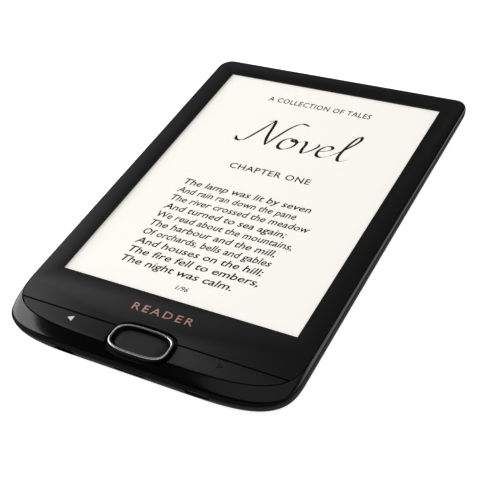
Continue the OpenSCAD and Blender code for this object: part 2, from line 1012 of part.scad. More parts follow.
module board_screws() {
    color(steel)
        for (p = board_screw_xy)
            screw(p, board_z, board_t + board_gap + mid_t);
}

module frame_screws() {
    color(steel)
        for (p = frame_screw_xy)
            screw(p, mid_z, mid_t + 0.8);
}

rear_cover();
front_frame();
faceplate();
display_gasket();
light_guide();
light_strip();
eink_film();
eink_panel();
panel_flex();
flex_socket();
mid_frame();
main_board();
shield_can();
processor_chip();
memory_chip();
storage_chip();
power_chip();
wifi_module();
wifi_antenna();
antenna_contacts();
battery_cell();
battery_tape();
battery_board();
battery_leads();
battery_plug();
battery_socket();
usb_shell();
usb_tongue();
card_socket_base();
card_socket_shell();
power_key();
power_plunger();
power_switch();
status_led();
left_key();
left_arrow();
left_plunger();
left_switch();
right_key();
right_arrow();
right_plunger();
right_switch();
home_key();
home_plunger();
home_switch();
home_flex();
ring_collar();
chrome_ring();
board_screws();
frame_screws();
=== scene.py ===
# The e-reader's visible shells, keys, ring, display and markings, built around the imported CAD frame.
# Everything is in metres in the part's own frame: +X right, +Y towards the top edge, +Z out of the front.
import math

import bmesh
import bpy
from mathutils import Matrix, Vector

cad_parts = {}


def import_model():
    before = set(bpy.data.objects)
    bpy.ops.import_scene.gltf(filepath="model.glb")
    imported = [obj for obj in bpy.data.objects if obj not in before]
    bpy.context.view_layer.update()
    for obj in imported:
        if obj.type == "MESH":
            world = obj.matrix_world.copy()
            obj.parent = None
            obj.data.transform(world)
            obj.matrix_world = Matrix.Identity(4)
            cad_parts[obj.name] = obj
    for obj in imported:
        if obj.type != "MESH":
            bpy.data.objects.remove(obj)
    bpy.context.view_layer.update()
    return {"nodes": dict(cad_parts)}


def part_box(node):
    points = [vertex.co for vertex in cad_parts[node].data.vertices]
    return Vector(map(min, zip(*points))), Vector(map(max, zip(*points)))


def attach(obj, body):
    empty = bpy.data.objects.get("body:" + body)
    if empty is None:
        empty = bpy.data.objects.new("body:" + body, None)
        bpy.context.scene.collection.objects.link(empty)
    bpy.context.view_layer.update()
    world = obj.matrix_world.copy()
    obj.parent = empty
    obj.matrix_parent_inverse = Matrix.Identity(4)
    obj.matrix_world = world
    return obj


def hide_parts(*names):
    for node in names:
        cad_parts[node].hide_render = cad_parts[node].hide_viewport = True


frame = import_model()
MM = 0.001


# ---------------------------------------------------------------- sizes, from the frame

def node_box(name):
    low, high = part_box(name)
    return [v / MM for v in low], [v / MM for v in high]


COVER_HIGH = node_box("rear_cover")[1]
PLATE_LOW, PLATE_HIGH = node_box("faceplate")
GUIDE_LOW, GUIDE_HIGH = node_box("light_guide")
COLLAR_LOW, COLLAR_HIGH = node_box("ring_collar")
CHROME_LOW, CHROME_HIGH = node_box("chrome_ring")
PAD_LOW, PAD_HIGH = node_box("home_key")
ARROW_LOW, ARROW_HIGH = node_box("right_arrow")
POWER_LOW, POWER_HIGH = node_box("power_key")
USB_LOW, USB_HIGH = node_box("usb_shell")
CARD_LOW, CARD_HIGH = node_box("card_socket_shell")
FLEX_LOW, FLEX_HIGH = node_box("panel_flex")

HALF_W = COVER_HIGH[0]
HALF_L = COVER_HIGH[1]
BODY_L = 2 * HALF_L
FRONT_Z = PLATE_HIGH[2]
PLATE_Z = PLATE_LOW[2]
PAGE_Z = GUIDE_HIGH[2]
RING_Y = (CHROME_LOW[1] + CHROME_HIGH[1]) / 2
RING_TOP = CHROME_HIGH[2]

# The CAD's own outlines and clearances, which are drawn here with more steps
CORNER_X = 35
CORNER_Y = 19
PLATE_CORNER_X = 49.5
PLATE_CORNER_Y = 22.4
TOP_R = 5.2
BODY_POWER = 3.4
PLATE_POWER = 4
BORDER_POWER = 2.2
CHIN_POWER = 1.25
CHIN_WIDE = 4
BELT_TOP_Z = 7.0
BELT_BOTTOM_Z = 5.6
SEAM_TOP_DROP = 0.7
SEAM_BOTTOM_DROP = 1.9
SEAM_SIDE = 0.1
SEAM_TOP = 0.15
SEAM_BOTTOM = 1.25
SEAM_GAP = 0.08
PLATE_SIDE = 0.65
CHIN_L = 5.8
END_ROUND = 5.2
SIDE_ROUND_TOP = 6
SIDE_ROUND_BOTTOM = 2.4
GROOVE_Y = -67.25
GROOVE_W = 0.5
KEY_PLAY = 0.17
POCKET_PLAY = 0.26
POCKET_Z = 6.5
HOLE_X = 12.3
HOLE_Y = 7.25
TROUGH_Z = 7.2
RING_POWER = 3.2
TRIM_W = 0.7
STACK_X = 50.8
STACK_LOW = -61.0
STACK_HIGH = 76.9
STEM_X = 28.65
STEM_Y = -71
WINDOW_W = 90.7
WINDOW_L = 122.8
WINDOW_Y = (GUIDE_LOW[1] + GUIDE_HIGH[1]) / 2

# How far a cut reaches where it only has to be long enough
FAR_X = 70
FAR_Y = 90
FAR_Z = 20

# Openings in the bottom wall as (width, height), and where they end
USB_HOLE = (8.2, 2.8)
CARD_HOLE = (11.8, 1.0)
POWER_HOLE = (8.7, 1.6)
HOLE_END_Y = -74

# Key stems, and the opening in the frame for the display's tail
STEM_W = 4
STEM_L = 2.4
STEM_PLAY = 0.3
FLEX_PLAY = 0.8
FLEX_OPENING_Y = (-62.6, -60.6)
FLEX_OPENING_Z = (4.7, 7.05)

# Steps along a bottom corner, a top corner, a straight side, the rounded back, the chin, a slot's end and
# the ring's outline
BOTTOM_STEPS = 40
TOP_STEPS = 16
SIDE_STEPS = 24
BACK_STEPS = 14
CHIN_STEPS = 12
SLOT_STEPS = 12
RING_STEPS = 128


# ---------------------------------------------------------------- camera

CAMERA_AT = (0.1646, -0.23349, 0.24613)
CAMERA_AIM = (0.00654, -0.01758, 0.00814)
CAMERA_ROLL = -11.32
LENS_MM = 78.51


def add_camera():
    data = bpy.data.cameras.new("camera")
    data.lens = LENS_MM
    data.sensor_width = 36
    data.clip_start = 0.01
    camera = bpy.data.objects.new("camera", data)
    bpy.context.scene.collection.objects.link(camera)
    way = Vector(CAMERA_AIM) - Vector(CAMERA_AT)
    turn = way.to_track_quat("-Z", "Y").to_matrix() @ Matrix.Rotation(math.radians(CAMERA_ROLL), 3, "Z")
    camera.matrix_world = Matrix.Translation(CAMERA_AT) @ turn.to_4x4()
    bpy.context.scene.camera = camera


add_camera()


# ---------------------------------------------------------------- outlines, in millimetres

def lerp(a, b, t):
    return a + (b - a) * t


def power_point(angle, a, b, n):
    """A point of a superellipse with half sizes a and b."""
    c, s = math.cos(math.radians(angle)), math.sin(math.radians(angle))
    return (math.copysign(a * abs(c) ** (2 / n), c), math.copysign(b * abs(s) ** (2 / n), s))


def corner(cx, cy, a, b, n, start, steps):
    """A quarter of a superellipse that turns anticlockwise from the angle start."""
    points = []
    for i in range(steps + 1):
        x, y = power_point(start + 90 * i / steps, a, b, n)
        points.append((cx + x, cy + y))
    return points


def straight(x, y0, y1):
    return [(x, lerp(y0, y1, i / SIDE_STEPS)) for i in range(1, SIDE_STEPS)]


def outline(hw, top, bottom, r, a, b, n):
    """A footprint with two small corners at the top and two wide ones at the bottom, anticlockwise."""
    return (corner(hw - a, bottom + b, a, b, n, -90, BOTTOM_STEPS) + straight(hw, bottom + b, top - r)
            + corner(hw - r, top - r, r, r, 2, 0, TOP_STEPS) + corner(r - hw, top - r, r, r, 2, 90, TOP_STEPS)
            + straight(-hw, top - r, bottom + b) + corner(a - hw, bottom + b, a, b, n, 180, BOTTOM_STEPS))


def belt():
    return outline(HALF_W, HALF_L, -HALF_L, TOP_R, CORNER_X, CORNER_Y, BODY_POWER)


def seam(d=0.0):
    return outline(HALF_W - SEAM_SIDE - d, HALF_L - SEAM_TOP - d, SEAM_BOTTOM - HALF_L + d,
                   TOP_R - 0.2 - d, CORNER_X - d, CORNER_Y - 0.9 - d, BODY_POWER)


def plate_edge(d=0.0):
    return outline(HALF_W - PLATE_SIDE - d, HALF_L - PLATE_SIDE - d, CHIN_L - HALF_L + d,
                   TOP_R - 0.5 - d, PLATE_CORNER_X - d, PLATE_CORNER_Y - d, PLATE_POWER)


def ring_line(a, b):
    points = [power_point(360 * i / RING_STEPS, a, b, RING_POWER) for i in range(RING_STEPS)]
    return [(x, RING_Y + y) for x, y in points]


def run(y):
    """Share of the way from the top edge to the bottom edge."""
    return min(1.0, max(0.0, (HALF_L - y) / BODY_L))


def belt_z(y):
    return lerp(BELT_TOP_Z, BELT_BOTTOM_Z, run(y) ** 2)


def seam_z(y):
    return FRONT_Z - lerp(SEAM_TOP_DROP, SEAM_BOTTOM_DROP, run(y) ** 2)


def lift(points, height):
    """Gives each point its height: a number, or a function of y."""
    return [(x, y, height(y) if callable(height) else height) for x, y in points]


def blend_rings(low, high, t):
    return [tuple(lerp(a, b, t) for a, b in zip(p, q)) for p, q in zip(low, high)]


# ---------------------------------------------------------------- mesh helpers

def new_object(name, bm, finish):
    mesh = bpy.data.meshes.new(name)
    bmesh.ops.recalc_face_normals(bm, faces=bm.faces)
    bm.to_mesh(mesh)
    bm.free()
    obj = bpy.data.objects.new(name, mesh)
    bpy.context.scene.collection.objects.link(obj)
    if finish:
        mesh.materials.append(finish)
    return obj


def shade(obj, angle):
    """Smooth shading with edges sharper than the angle, in degrees, left crisp."""
    mesh = obj.data
    mesh.shade_smooth()
    bm = bmesh.new()
    bm.from_mesh(mesh)
    for edge in bm.edges:
        edge.smooth = len(edge.link_faces) == 2 and edge.calc_face_angle(0) < math.radians(angle)
    bm.to_mesh(mesh)
    bm.free()


def loft(rings, looped=False, bm=None):
    """A skin through rings of equal length, in millimetres, capped at both ends or joined into a loop."""
    if bm is None:
        bm = bmesh.new()
    rows = [[bm.verts.new([c * MM for c in p]) for p in ring] for ring in rings]
    n = len(rings[0])
    pairs = list(zip(rows, rows[1:]))
    if looped:
        pairs.append((rows[-1], rows[0]))
    for low, high in pairs:
        for i in range(n):
            k = (i + 1) % n
            bm.faces.new((low[i], low[k], high[k], high[i]))
    if not looped:
        bm.faces.new(list(reversed(rows[0])))
        bm.faces.new(rows[-1])
    return bm


def prism(points, z0, z1):
    return loft([lift(points, z0), lift(points, z1)])


def box_mesh(x0, x1, y0, y1, z0, z1):
    return prism([(x0, y0), (x1, y0), (x1, y1), (x0, y1)], z0, z1)


def cut(obj, tools, operation="DIFFERENCE"):
    """Cuts each tool mesh out of obj, or else keeps what the two share or joins them."""
    for tool in tools:
        cutter = new_object("cutter", tool, None)
        modifier = obj.modifiers.new("cut", "BOOLEAN")
        modifier.operation = operation
        modifier.solver = "EXACT"
        modifier.object = cutter
        apply_modifiers(obj)
        bpy.data.objects.remove(cutter)


def apply_modifiers(obj):
    graph = bpy.context.evaluated_depsgraph_get()
    mesh = bpy.data.meshes.new_from_object(obj.evaluated_get(graph))
    obj.modifiers.clear()
    obj.data = mesh


def round_edges(obj, width, segments):
    """Rounds the edges that turn by more than 40 degrees, by width in millimetres."""
    modifier = obj.modifiers.new("round", "BEVEL")
    modifier.width = width * MM
    modifier.segments = segments
    modifier.limit_method = "ANGLE"
    modifier.angle_limit = math.radians(40)


# ---------------------------------------------------------------- materials

def material(name, color, rough, metal=0.0, coat=0.0, specular=0.5, glow=0.0):
    mat = bpy.data.materials.new(name)
    mat.use_nodes = True
    shader = mat.node_tree.nodes["Principled BSDF"]
    shader.inputs["Base Color"].default_value = (*color, 1)
    shader.inputs["Roughness"].default_value = rough
    shader.inputs["Metallic"].default_value = metal
    shader.inputs["Coat Weight"].default_value = coat
    shader.inputs["Specular IOR Level"].default_value = specular
    shader.inputs["Emission Color"].default_value = (*color, 1)
    shader.inputs["Emission Strength"].default_value = glow
    return mat


def add_node(mat, kind, **values):
    made = mat.node_tree.nodes.new(kind)
    for key, value in values.items():
        if key in made.inputs:
            made.inputs[key].default_value = value
        else:
            setattr(made, key, value)
    return made


def wire(mat, source, target):
    mat.node_tree.links.new(source, target)


def grained(name, color, rough, scale, bump, vary=0.12, rough_vary=0.05, metal=0.0, coat=0.0,
            specular=0.5, stretch=(1, 1, 1), glow=0.0):
    """A material whose colour, roughness and surface vary with a fine grain of the given scale."""
    mat = material(name, color, rough, metal, coat, specular, glow)
    shader = mat.node_tree.nodes["Principled BSDF"]
    place = add_node(mat, "ShaderNodeTexCoord")
    mapping = add_node(mat, "ShaderNodeMapping")
    mapping.inputs["Scale"].default_value = stretch
    wire(mat, place.outputs["Object"], mapping.inputs["Vector"])
    fine = add_node(mat, "ShaderNodeTexNoise", Scale=scale, Detail=4.0, Roughness=0.6)
    broad = add_node(mat, "ShaderNodeTexNoise", Scale=scale / 40, Detail=2.0, Roughness=0.5)
    wire(mat, mapping.outputs["Vector"], fine.inputs["Vector"])
    wire(mat, mapping.outputs["Vector"], broad.inputs["Vector"])
    ramp = add_node(mat, "ShaderNodeValToRGB")
    dark = [c * (1 - vary) for c in color]
    light = [min(1.0, c * (1 + vary)) for c in color]
    ramp.color_ramp.elements[0].position = 0.3
    ramp.color_ramp.elements[0].color = (*dark, 1)
    ramp.color_ramp.elements[1].position = 0.7
    ramp.color_ramp.elements[1].color = (*light, 1)
    mix = add_node(mat, "ShaderNodeMath", operation="ADD")
    half = add_node(mat, "ShaderNodeMath", operation="MULTIPLY")
    half.inputs[1].default_value = 0.5
    wire(mat, fine.outputs["Fac"], mix.inputs[0])
    wire(mat, broad.outputs["Fac"], mix.inputs[1])
    wire(mat, mix.outputs[0], half.inputs[0])
    wire(mat, half.outputs[0], ramp.inputs["Fac"])
    wire(mat, ramp.outputs["Color"], shader.inputs["Base Color"])
    spread = add_node(mat, "ShaderNodeMapRange")
    spread.inputs["To Min"].default_value = max(0.0, rough - rough_vary)
    spread.inputs["To Max"].default_value = min(1.0, rough + rough_vary)
    wire(mat, broad.outputs["Fac"], spread.inputs["Value"])
    wire(mat, spread.outputs["Result"], shader.inputs["Roughness"])
    if bump:
        relief = add_node(mat, "ShaderNodeBump", Strength=bump, Distance=0.00002)
        wire(mat, fine.outputs["Fac"], relief.inputs["Height"])
        wire(mat, relief.outputs["Normal"], shader.inputs["Normal"])
    return mat


# Colours are linear
plate_black = grained("plate_black", (0.0068, 0.0068, 0.0071), 0.45, 9000, 0.12, specular=0.22)
key_black = grained("key_black", (0.0115, 0.0115, 0.0118), 0.45, 9000, 0.12, specular=0.25)
pad_black = grained("pad_black", (0.019, 0.019, 0.0194), 0.5, 9000, 0.12, specular=0.25)
cover_black = grained("cover_black", (0.006, 0.006, 0.0063), 0.6, 6000, 0.22, specular=0.05)
gloss_black = grained("gloss_black", (0.0018, 0.0018, 0.002), 0.11, 3000, 0.02, rough_vary=0.02, specular=0.4)
# The trough's own black; on the power key it is also painted shade
trough_black_and_painted_shade = grained("trough_black_and_painted_shade", (0.001, 0.001, 0.001), 0.45, 4000, 0.05, specular=0.1)
# The page glows: painted light that lifts the page's brightness beyond what the lamps give, standing in for
# the front light
page_white_painted_glow = grained("page_white_painted_glow", (0.885, 0.862, 0.80), 0.62, 5000, 0.03, vary=0.012, glow=0.56)
print_ink = grained("print_ink", (0.013, 0.0125, 0.012), 0.75, 7000, 0.03, specular=0.2)
chrome = grained("chrome", (0.6, 0.6, 0.61), 0.16, 2000, 0.0, vary=0.02, rough_vary=0.03, metal=1.0)
foil = grained("foil", (0.7, 0.7, 0.71), 0.07, 4000, 0.02, vary=0.04, metal=1.0)
copper_print = grained("copper_print", (0.66, 0.37, 0.30), 0.4, 6000, 0.02, metal=0.15)
gasket_foam = grained("gasket_foam", (0.015, 0.015, 0.015), 0.9, 5000, 0.5)
screen_film = grained("screen_film", (0.62, 0.61, 0.57), 0.35, 4000, 0.05, vary=0.05)
panel_glass = grained("panel_glass", (0.11, 0.12, 0.125), 0.12, 2500, 0.02, vary=0.06)
frame_metal = grained("frame_metal", (0.46, 0.46, 0.47), 0.38, 2500, 0.2, metal=1.0, stretch=(1, 14, 1))
can_metal = grained("can_metal", (0.62, 0.61, 0.58), 0.3, 3500, 0.15, metal=1.0, stretch=(8, 1, 1))
board_green = grained("board_green", (0.012, 0.085, 0.034), 0.38, 2200, 0.12, vary=0.2)
chip_black = grained("chip_black", (0.02, 0.02, 0.021), 0.55, 8000, 0.3)
flex_amber = grained("flex_amber", (0.42, 0.17, 0.03), 0.35, 1800, 0.08, vary=0.18, coat=0.3)
connector_cream = grained("connector_cream", (0.70, 0.64, 0.49), 0.5, 5000, 0.12)
connector_black = grained("connector_black", (0.014, 0.014, 0.015), 0.5, 6000, 0.2)
contact_gold = grained("contact_gold", (0.80, 0.57, 0.23), 0.28, 4000, 0.08, metal=1.0)
cell_foil = grained("cell_foil", (0.58, 0.58, 0.60), 0.42, 900, 0.25, vary=0.08, metal=0.85)
tape_black = grained("tape_black", (0.02, 0.02, 0.02), 0.7, 3500, 0.4)
lead_red = grained("lead_red", (0.34, 0.022, 0.02), 0.45, 4000, 0.1)
led_resin = grained("led_resin", (0.78, 0.73, 0.48), 0.25, 3000, 0.05, vary=0.1)
screw_zinc = grained("screw_zinc", (0.42, 0.42, 0.43), 0.33, 3000, 0.15, metal=1.0)

# The CAD nodes that keep their own shape, with the edge rounding of each in millimetres
KEPT_NODES = [
    (gasket_foam, 0.03, ["display_gasket"]),
    (screen_film, 0.05, ["eink_film"]),
    (panel_glass, 0.08, ["eink_panel"]),
    (frame_metal, 0.06, ["mid_frame"]),
    (can_metal, 0.06, ["shield_can", "wifi_module", "usb_shell", "card_socket_shell", "power_switch",
                       "left_switch", "right_switch", "home_switch"]),
    (board_green, 0.03, ["main_board", "battery_board"]),
    (chip_black, 0.06, ["processor_chip", "memory_chip", "storage_chip", "power_chip"]),
    (flex_amber, 0.02, ["panel_flex", "wifi_antenna", "home_flex"]),
    (connector_cream, 0.06, ["flex_socket", "battery_plug", "battery_socket", "power_plunger", "left_plunger",
                             "right_plunger", "home_plunger"]),
    (connector_black, 0.05, ["usb_tongue", "card_socket_base"]),
    (contact_gold, 0.04, ["antenna_contacts"]),
    (cell_foil, 0.3, ["battery_cell"]),
    (tape_black, 0.03, ["battery_tape"]),
    (lead_red, 0.0, ["battery_leads"]),
    (led_resin, 0.04, ["light_strip", "status_led"]),
    # The power key is black, taken darker than the other keys: painted shade that stands in for the shade of
    # its recess
    (trough_black_and_painted_shade, 0.15, ["power_key"]),
    # The light guide carries the glowing page colour: painted light on the page
    (page_white_painted_glow, 0.04, ["light_guide"]),
    (screw_zinc, 0.1, ["board_screws", "frame_screws"]),
]


def finish_kept_nodes():
    """Gives each kept node its material and softens its edges."""
    for finish, rounding, names in KEPT_NODES:
        for name in names:
            obj = frame["nodes"][name]
            obj.data.materials.clear()
            obj.data.materials.append(finish)
            if rounding:
                round_edges(obj, rounding, 2)


# ---------------------------------------------------------------- shells

LIP = 0.16
RIM_W = 1.4
# The inside of the cover, as (inset, height), from the wall down to the floor
COVER_INSIDE = ((RIM_W, 3.8), (3.0, 3.0), (3.8, 1.3))
# Shares of the way up the bevel at the cover's rim
BEVEL_LINES = (0.12, 0.5, 0.9)
FRAME_RIM_W = 1.6
FRAME_LIP_Z = 5.7
LAND_Z = 6.85
PLATE_PLAY = 0.05
KEY_CAP_T = 1


def back_ring(phi):
    """A line of the rounded back: phi is 90 on the flat and 0 at the widest line."""
    k = 1 - math.cos(math.radians(phi))
    points = []
    for x, y in belt():
        side = lerp(SIDE_ROUND_TOP, SIDE_ROUND_BOTTOM, run(y))
        points.append((x * (1 - side * k / HALF_W), y * (1 - END_ROUND * k / HALF_L),
                       belt_z(y) * (1 - math.sin(math.radians(phi)))))
    return points


def slot_tool(x, z, w, h, y0, y1):
    """A cutter with round ends that runs along Y."""
    points = []
    for s in (1, -1):
        for i in range(SLOT_STEPS + 1):
            a = math.radians(-90 + 180 * i / SLOT_STEPS)
            points.append((x + s * ((w - h) / 2 + h / 2 * math.cos(a)), z + s * h / 2 * math.sin(a)))
    rings = [[(px, y, pz) for px, pz in points] for y in (y1, y0)]
    return loft(rings)


def rear_shell():
    """The rear cover: rounded back, bevelled rim and an open inside."""
    edge = lift(seam(), seam_z)
    wide = back_ring(0)
    rings = [back_ring(90 - 90 * i / BACK_STEPS) for i in range(BACK_STEPS + 1)]
    rings += [blend_rings(wide, edge, t) for t in BEVEL_LINES]
    rings += [edge, lift(seam(LIP), lambda y: seam_z(y) - 0.02)]
    rings.append(lift(seam(RIM_W), lambda y: seam_z(y) - 0.45))
    rings += [lift(seam(d), z) for d, z in COVER_INSIDE]
    obj = new_object("rear_shell", loft(rings), cover_black)
    openings = [(USB_LOW, USB_HIGH, USB_HOLE), (CARD_LOW, CARD_HIGH, CARD_HOLE),
                (POWER_LOW, POWER_HIGH, POWER_HOLE)]
    cut(obj, [slot_tool((low[0] + high[0]) / 2, (low[2] + high[2]) / 2, *hole, -HALF_L - 1, HOLE_END_Y)
              for low, high, hole in openings])
    shade(obj, 28)
    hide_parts("rear_cover")
    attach(obj, "body")


def chin_ring(u, upper, lower):
    """A line of the frame's front: u is 0 at the plate and 1 at the seam."""
    points = []
    for (x0, y0), (x1, y1) in zip(upper, lower):
        wide = min(1.0, math.hypot(x1 - x0, y1 - y0) / CHIN_WIDE)
        k = lerp(BORDER_POWER, CHIN_POWER, wide)
        drop = FRONT_Z - seam_z(y1) - SEAM_GAP
        points.append((lerp(x0, x1, u), lerp(y0, y1, u), FRONT_Z - drop * (1 - (1 - u ** k) ** (1 / k))))
    return points


def stem(x, y, z0, z1, play=0.0):
    """The post under a key's cap or, with play around it, the opening for the post."""
    half_w, half_l = STEM_W / 2 + play, STEM_L / 2 + play
    return box_mesh(x - half_w, x + half_w, y - half_l, y + half_l, z0, z1)


def gloss_shell():
    """The glossy frame: a thin border round the plate and a convex chin, with a pocket for the keys."""
    upper = plate_edge(PLATE_PLAY - POCKET_PLAY)
    shares = [math.sin(math.radians(90 * i / CHIN_STEPS)) for i in range(CHIN_STEPS, -1, -1)]
    chin = [chin_ring(u, upper, seam()) for u in shares]
    under = lift(seam(0.3), lambda y: seam_z(y) + SEAM_GAP - 0.03)
    inner = lift(seam(FRAME_RIM_W), lambda y: min(LAND_Z, seam_z(y)) + SEAM_GAP)
    rings = [lift(seam(FRAME_RIM_W), FRAME_LIP_Z), inner, under] + chin
    obj = new_object("gloss_shell", loft(rings), gloss_black)
    key_pocket = new_object("pocket", prism(plate_edge(-POCKET_PLAY), POCKET_Z, FAR_Z), None)
    cut(key_pocket, [box_mesh(-FAR_X, FAR_X, -FAR_Y, GROOVE_Y, 0, FAR_Z + 1)], "INTERSECT")
    pocket_tool = bmesh.new()
    pocket_tool.from_mesh(key_pocket.data)
    bpy.data.objects.remove(key_pocket)
    cut(obj, [
        prism(plate_edge(-POCKET_PLAY), PLATE_Z, FAR_Z),
        box_mesh(-STACK_X, STACK_X, STACK_LOW, STACK_HIGH, 0, FAR_Z),
        pocket_tool,
        prism(ring_line(HOLE_X, HOLE_Y), POCKET_Z, FAR_Z),
        box_mesh(FLEX_LOW[0] - FLEX_PLAY, FLEX_HIGH[0] + FLEX_PLAY, *FLEX_OPENING_Y, *FLEX_OPENING_Z),
    ] + [stem(x, y, 0, FRONT_Z, STEM_PLAY) for x, y in ((-STEM_X, STEM_Y), (0, RING_Y), (STEM_X, STEM_Y))])
    shade(obj, 30)
    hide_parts("front_frame")
    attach(obj, "body")


def front_plate():
    """The matte plate with the window, the ring's opening and the edge at the groove."""
    plate = prism(plate_edge(PLATE_PLAY), PLATE_Z, FRONT_Z)
    obj = new_object("front_plate", plate, plate_black)
    half = WINDOW_W / 2
    cut(obj, [
        box_mesh(-FAR_X, FAR_X, -FAR_Y, GROOVE_Y + GROOVE_W / 2, 0, FAR_Z),
        box_mesh(-half, half, WINDOW_Y - WINDOW_L / 2, WINDOW_Y + WINDOW_L / 2, 0, FAR_Z),
        prism(ring_line(HOLE_X, HOLE_Y), 0, FAR_Z),
    ])
    round_edges(obj, 0.12, 3)
    apply_modifiers(obj)
    shade(obj, 30)
    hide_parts("faceplate")
    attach(obj, "body")


def page_key(name, side):
    """A page key: side is -1 on the left and 1 on the right."""
    stem_low = node_box(name)[0][2]
    cap = prism(plate_edge(KEY_PLAY), FRONT_Z - KEY_CAP_T, FRONT_Z)
    obj = new_object(name + "_cap", cap, key_black)
    keep = (0, FAR_X) if side > 0 else (-FAR_X, 0)
    cut(obj, [box_mesh(*keep, -FAR_Y, GROOVE_Y - GROOVE_W / 2, 0, FAR_Z)], "INTERSECT")
    cut(obj, [prism(ring_line(HOLE_X, HOLE_Y), 0, FAR_Z)])
    round_edges(obj, 0.16, 3)
    apply_modifiers(obj)
    cut(obj, [stem(side * STEM_X, STEM_Y, stem_low, FRONT_Z - KEY_CAP_T + 0.1)], "UNION")
    shade(obj, 30)
    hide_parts(name)
    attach(obj, name)


# ---------------------------------------------------------------- home ring

def profile_loft(name, profile, finish, looped=True):
    """A ring whose section is a list of (half width, half length, height)."""
    rings = [lift(ring_line(a, b), z) for a, b, z in profile]
    return new_object(name, loft(rings, looped), finish)


def half_size(low, high):
    return (high[0] - low[0]) / 2, (high[1] - low[1]) / 2


OUT_X, OUT_Y = half_size(CHROME_LOW, CHROME_HIGH)
FOOT_X, FOOT_Y = half_size(COLLAR_LOW, COLLAR_HIGH)
PAD_X, PAD_Y = half_size(PAD_LOW, PAD_HIGH)
TRIM_Z = CHROME_LOW[2]
TRIM_STEPS = 12
TRIM_SIDE = 0.2
SLOPE_STEPS = 6
PAD_PLAY = 0.15
PAD_CAP_T = 0.8


def inset(x, y, d, z):
    """A line of a ring's section: half sizes moved in by d, at the height z."""
    return (x - d, y - d, z)


def ring_trim():
    """The chrome trim: a bead with a flat foot."""
    crown = RING_TOP - TRIM_Z - TRIM_SIDE
    bead = []
    for i in range(TRIM_STEPS + 1):
        a = math.radians(180 * i / TRIM_STEPS)
        bead.append(inset(OUT_X, OUT_Y, TRIM_W / 2 * (1 - math.cos(a)),
                          TRIM_Z + TRIM_SIDE + crown * math.sin(a) ** 0.9))
    bead.append(inset(OUT_X, OUT_Y, TRIM_W, TRIM_Z))
    bead.append(inset(OUT_X, OUT_Y, 0, TRIM_Z))
    obj = profile_loft("ring_trim", bead, chrome)
    shade(obj, 40)
    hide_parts("chrome_ring")
    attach(obj, "body")


def ring_surround():
    """The black surround: a trough, a wall with a rounded brim, and a slope down to the pad."""
    section = [
        inset(FOOT_X, FOOT_Y, 0, POCKET_Z),
        inset(FOOT_X, FOOT_Y, 0, TROUGH_Z - 0.06),
        inset(FOOT_X, FOOT_Y, 0.06, TROUGH_Z),
        inset(OUT_X, OUT_Y, -0.24, TROUGH_Z),
        inset(OUT_X, OUT_Y, -0.12, TROUGH_Z + 0.14),
    ]
    for angle in range(18, 91, 18):
        t = math.radians(angle)
        section.append(inset(OUT_X, OUT_Y, 0.12 * (1 - math.cos(t)) - 0.1, TRIM_Z + 0.05 + 0.1 * math.sin(t)))
    section.append(inset(OUT_X, OUT_Y, 0.03, TRIM_Z - 0.02))
    section.append(inset(OUT_X, OUT_Y, TRIM_W - 0.02, TRIM_Z - 0.02))
    for i in range(SLOPE_STEPS + 1):
        t = i / SLOPE_STEPS
        section.append((lerp(OUT_X - TRIM_W - 0.02, PAD_X + PAD_PLAY, t ** 0.9),
                        lerp(OUT_Y - TRIM_W - 0.02, PAD_Y + PAD_PLAY, t ** 0.9),
                        lerp(TRIM_Z + 0.14, FRONT_Z - 0.45, t ** 1.2)))
    section.append(inset(PAD_X, PAD_Y, -PAD_PLAY, POCKET_Z))
    obj = profile_loft("ring_surround", section, trough_black_and_painted_shade)
    shade(obj, 40)
    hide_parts("ring_collar")
    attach(obj, "body")


def home_pad():
    """The home key: a slightly dished pad with a soft edge, on its stem."""
    top = PAD_HIGH[2]
    section = [
        inset(PAD_X, PAD_Y, 0, top - PAD_CAP_T),
        inset(PAD_X, PAD_Y, 0, top - 0.16),
        inset(PAD_X, PAD_Y, 0.05, top - 0.05),
        inset(PAD_X, PAD_Y, 0.16, top),
        (PAD_X * 0.7, PAD_Y * 0.7, top - 0.02),
        (PAD_X * 0.35, PAD_Y * 0.35, top - 0.03),
    ]
    obj = profile_loft("home_pad", section, pad_black, looped=False)
    cut(obj, [stem(0, RING_Y, PAD_LOW[2], top - PAD_CAP_T + 0.1)], "UNION")
    shade(obj, 40)
    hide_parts("home_key")
    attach(obj, "home_key")


# ---------------------------------------------------------------- printed marks

# Thickness of the ink and of the foil arrows
INK_Z = 0.008
FOIL_T = 0.03

# The title's pen: the angle of its broad edge, and the steps along a stroke from one point to the next
PEN_ANGLE = 32
PEN_STEPS = 7


def text_print(name, text, left, right, y, size, z, finish, slant=0.0, weight=0.0, spacing=1.0):
    """A printed line from the built-in face, stretched to run from left to right at the height y."""
    curve = bpy.data.curves.new(name, "FONT")
    curve.body = text
    curve.size = size * MM
    curve.shear = slant
    curve.offset = weight * MM
    curve.space_character = spacing
    curve.extrude = INK_Z / 2 * MM
    curve.resolution_u = 2
    holder = bpy.data.objects.new(name + "_curve", curve)
    bpy.context.scene.collection.objects.link(holder)
    graph = bpy.context.evaluated_depsgraph_get()
    mesh = bpy.data.meshes.new_from_object(holder.evaluated_get(graph))
    bpy.data.objects.remove(holder)
    xs = [v.co.x for v in mesh.vertices]
    start = min(xs)
    scale = (right - left) * MM / (max(xs) - start)
    for v in mesh.vertices:
        v.co.x = left * MM + (v.co.x - start) * scale
        v.co.y += y * MM
        v.co.z += (z + INK_Z / 2) * MM
    mesh.materials.clear()
    mesh.materials.append(finish)
    obj = bpy.data.objects.new(name, mesh)
    bpy.context.scene.collection.objects.link(obj)
    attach(obj, "body")


